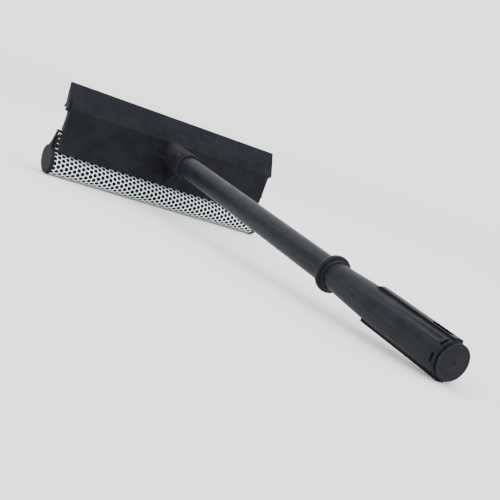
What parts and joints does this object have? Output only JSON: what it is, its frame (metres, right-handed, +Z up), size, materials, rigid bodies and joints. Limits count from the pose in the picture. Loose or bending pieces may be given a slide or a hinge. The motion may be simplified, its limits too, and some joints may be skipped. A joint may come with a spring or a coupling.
{
  "type": "windscreen squeegee washer",
  "caption": "Long-handled windscreen washer: an angled rubber squeegee blade and a netted sponge roll on one moulded head, with a tube handle and ridged grip.",
  "frame": {"origin": "centre of the footprint, on the surface the washer lies on", "axes": "+X along the blade, +Y from the grip to the head, +Z up, towards the blade's tip, with the washer lying on its two end caps and the rear of its grip"},
  "size_m": [0.2568, 0.521, 0.0964],
  "materials": {
    "head_plastic": "fine moulded grain, charcoal",
    "handle_plastic": "satin moulded, dark grey",
    "blade_rubber": "matt, lightly powdered",
    "foam": "open-cell foam, near black",
    "net": "open round-hole net, white",
    "screw_steel": "zinc plated"
  },
  "bodies": {
    "washer": {"head_frame": "head_plastic", "rear_clamp": "head_plastic", "end_cap_left": "head_plastic", "end_cap_right": "head_plastic", "guard_ring": "head_plastic", "grip_end_cap": "head_plastic", "sponge_core_tube": "head_plastic", "handle_tube": "handle_plastic", "grip_body": "handle_plastic", "sponge": "foam", "net_sleeve": "net", "rear_clamp_screw_left": "screw_steel", "rear_clamp_screw_middle": "screw_steel", "rear_clamp_screw_right": "screw_steel", "socket_screw": "screw_steel"},
    "blade": {"rubber_blade": "blade_rubber"}
  },
  "joints": [
    {"name": "blade_slide", "type": "slide", "parent": "washer", "child": "blade", "axis": [1, 0, 0], "range_m": [-0.25, 0.25]}
  ]
}
